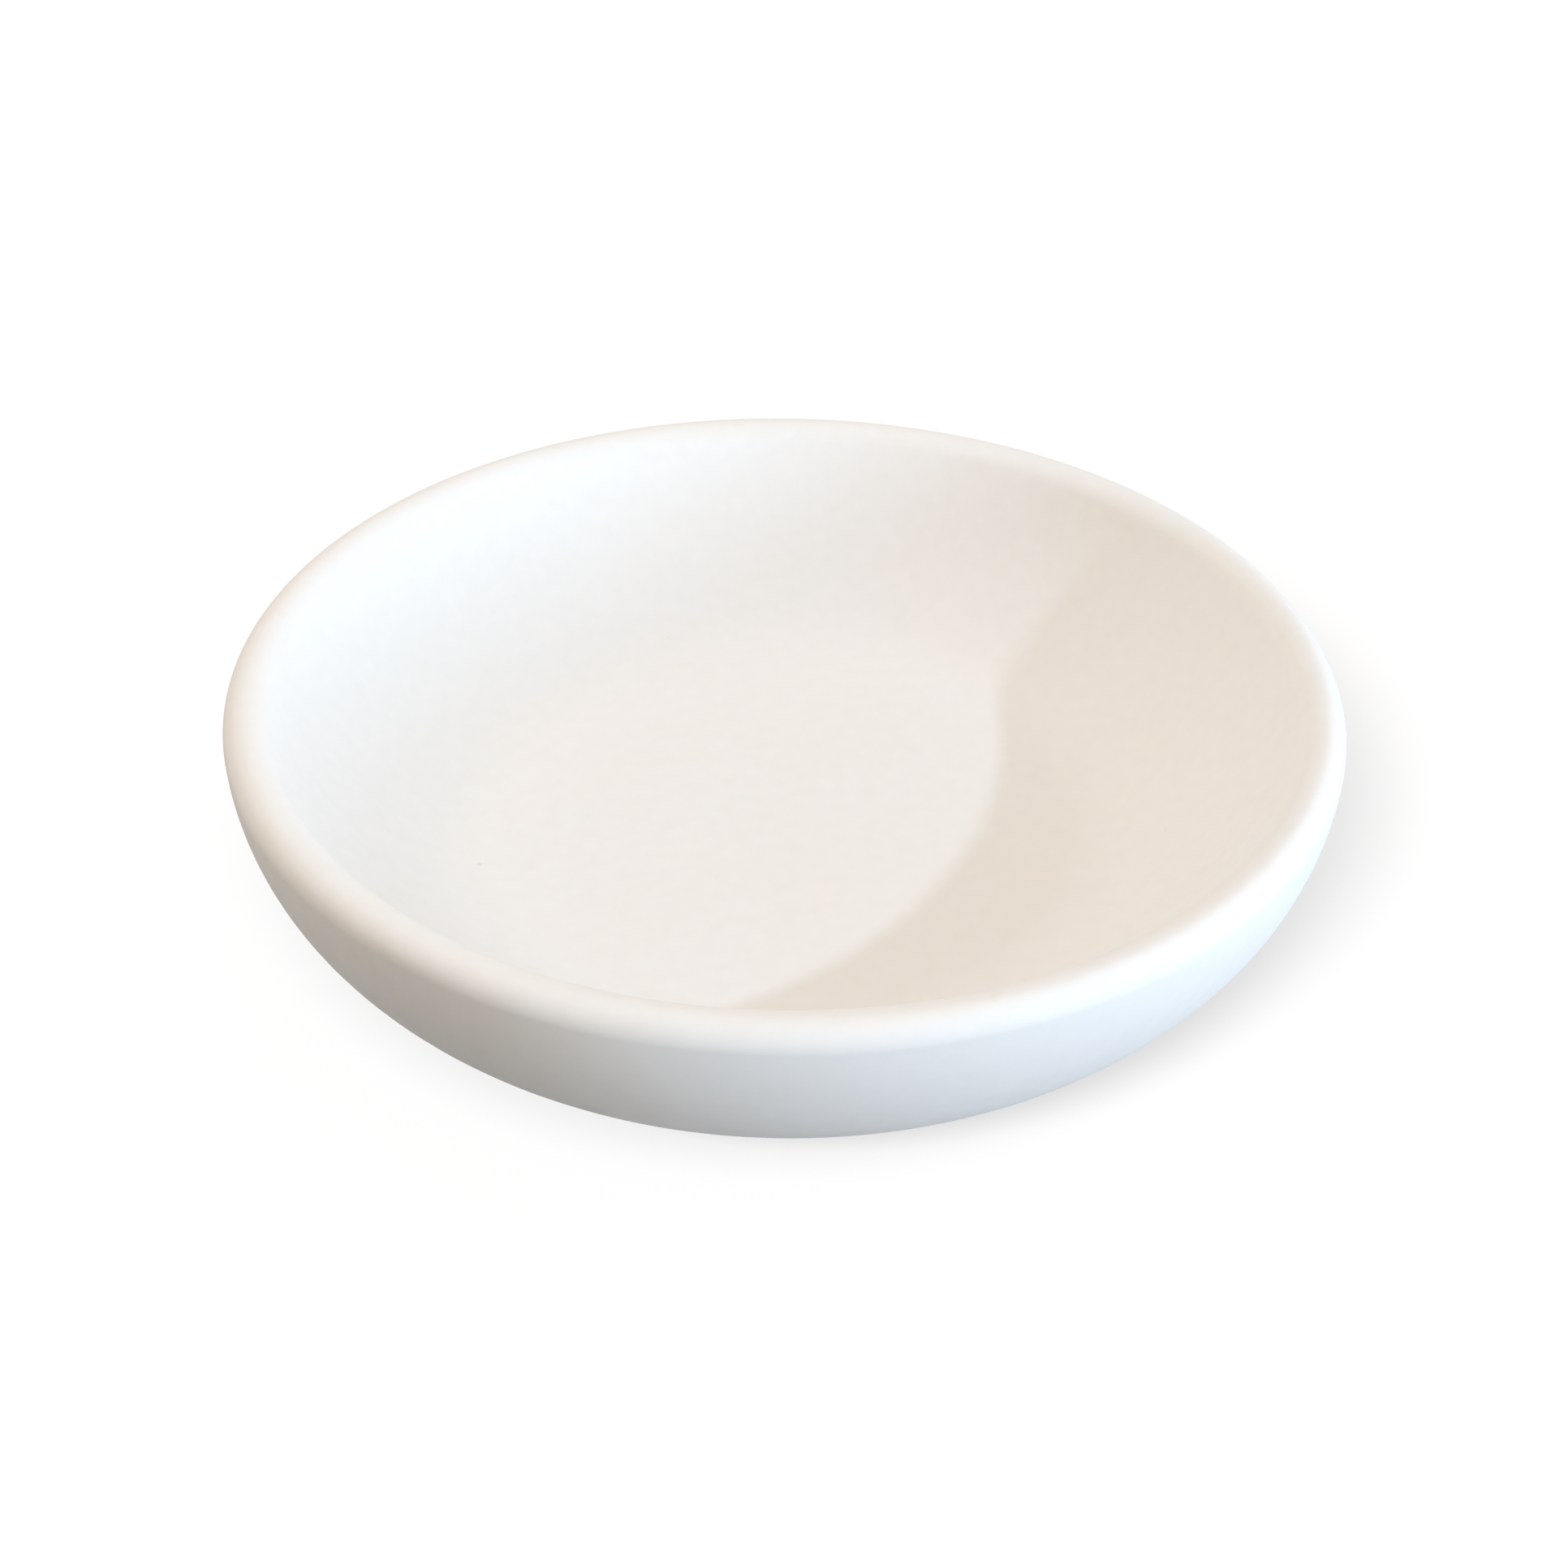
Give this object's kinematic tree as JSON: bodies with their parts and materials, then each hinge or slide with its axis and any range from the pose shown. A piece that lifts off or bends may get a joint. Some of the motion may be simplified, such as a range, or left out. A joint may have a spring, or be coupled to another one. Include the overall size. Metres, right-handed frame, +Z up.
{
  "type": "soy sauce dish",
  "caption": "Small round ceramic dish with a low upright wall, rounded rim and foot ring, satin white glaze; holds soy sauce or another dip at the table.",
  "frame": {"origin": "centre of the foot ring on the table plane", "axes": "+Z up along the dish's axis of revolution; X and Y lie in the table plane and are interchangeable"},
  "size_m": [0.095, 0.095, 0.0211],
  "materials": {
    "clay": "bare fired clay, fine grained and matte",
    "glaze": "satin white glaze"
  },
  "bodies": {
    "root": {"clay_body": "clay", "glaze_coat": "glaze", "base_glaze": "glaze"}
  },
  "joints": []
}
